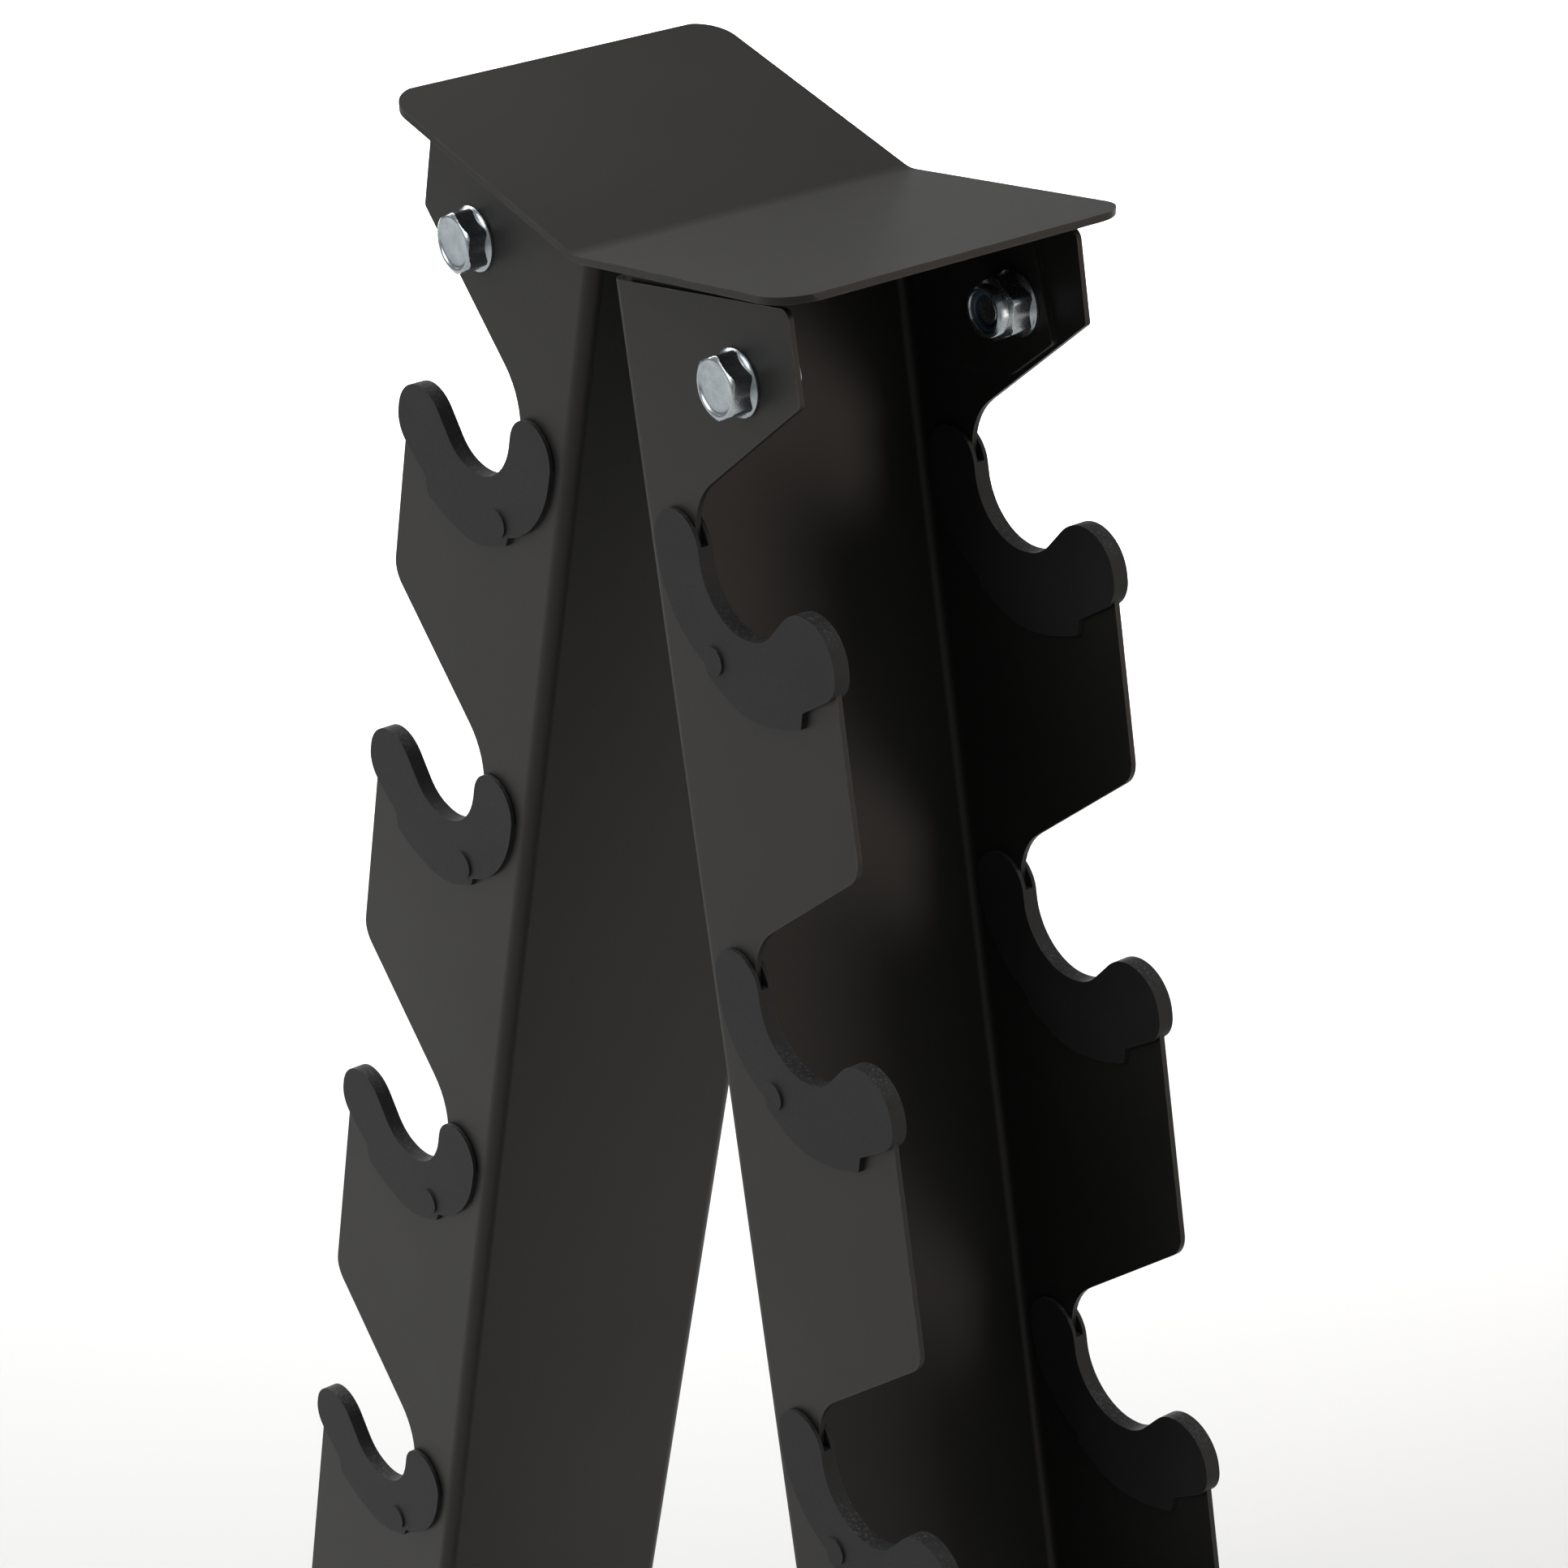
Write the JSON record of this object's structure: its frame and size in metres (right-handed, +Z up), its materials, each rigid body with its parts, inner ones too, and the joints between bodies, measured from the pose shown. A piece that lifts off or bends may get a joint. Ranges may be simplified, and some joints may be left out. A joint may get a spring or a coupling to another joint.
{
  "type": "dumbbell rack",
  "caption": "Free-standing A-frame rack of folded sheet steel; lined hooks on both legs hold dumbbells by their handles.",
  "frame": {"origin": "on the floor, midway between the two feet, at the middle of the rack's bounding box", "axes": "+Z up, X across the rack from the left leg to the right leg, Y along the handles of the dumbbells"},
  "size_m": [0.5266, 0.37, 0.8438],
  "materials": {
    "black_powder_coat": "satin black powder coat with a fine even grain",
    "liner_plastic": "matte black moulded plastic, lightly scuffed in the saddles",
    "cap_plastic": "fine-textured black moulded plastic",
    "pad_rubber": "matte black rubber",
    "zinc_steel": "bright zinc plating"
  },
  "bodies": {
    "root": {"foot_bolts": "zinc_steel", "foot_bracket_left": "black_powder_coat", "foot_bracket_right": "black_powder_coat", "foot_cap_left_back": "cap_plastic", "foot_cap_left_front": "cap_plastic", "foot_cap_right_back": "cap_plastic", "foot_cap_right_front": "cap_plastic", "foot_left": "black_powder_coat", "foot_nuts": "zinc_steel", "foot_pad_left_back": "pad_rubber", "foot_pad_left_front": "pad_rubber", "foot_pad_right_back": "pad_rubber", "foot_pad_right_front": "pad_rubber", "foot_right": "black_powder_coat", "hook_liner_left_back_1": "liner_plastic", "hook_liner_left_back_2": "liner_plastic", "hook_liner_left_back_3": "liner_plastic", "hook_liner_left_back_4": "liner_plastic", "hook_liner_left_back_5": "liner_plastic", "hook_liner_left_front_1": "liner_plastic", "hook_liner_left_front_2": "liner_plastic", "hook_liner_left_front_3": "liner_plastic", "hook_liner_left_front_4": "liner_plastic", "hook_liner_left_front_5": "liner_plastic", "hook_liner_right_back_1": "liner_plastic", "hook_liner_right_back_2": "liner_plastic", "hook_liner_right_back_3": "liner_plastic", "hook_liner_right_back_4": "liner_plastic", "hook_liner_right_back_5": "liner_plastic", "hook_liner_right_front_1": "liner_plastic", "hook_liner_right_front_2": "liner_plastic", "hook_liner_right_front_3": "liner_plastic", "hook_liner_right_front_4": "liner_plastic", "hook_liner_right_front_5": "liner_plastic", "leg_left": "black_powder_coat", "leg_right": "black_powder_coat", "tie_bar": "black_powder_coat", "tie_bolts": "zinc_steel", "tie_end_plate_left": "black_powder_coat", "tie_end_plate_right": "black_powder_coat", "tie_nuts": "zinc_steel", "top_bolts": "zinc_steel", "top_bracket_left": "black_powder_coat", "top_bracket_right": "black_powder_coat", "top_nuts": "zinc_steel", "top_plate": "black_powder_coat"}
  },
  "joints": []
}
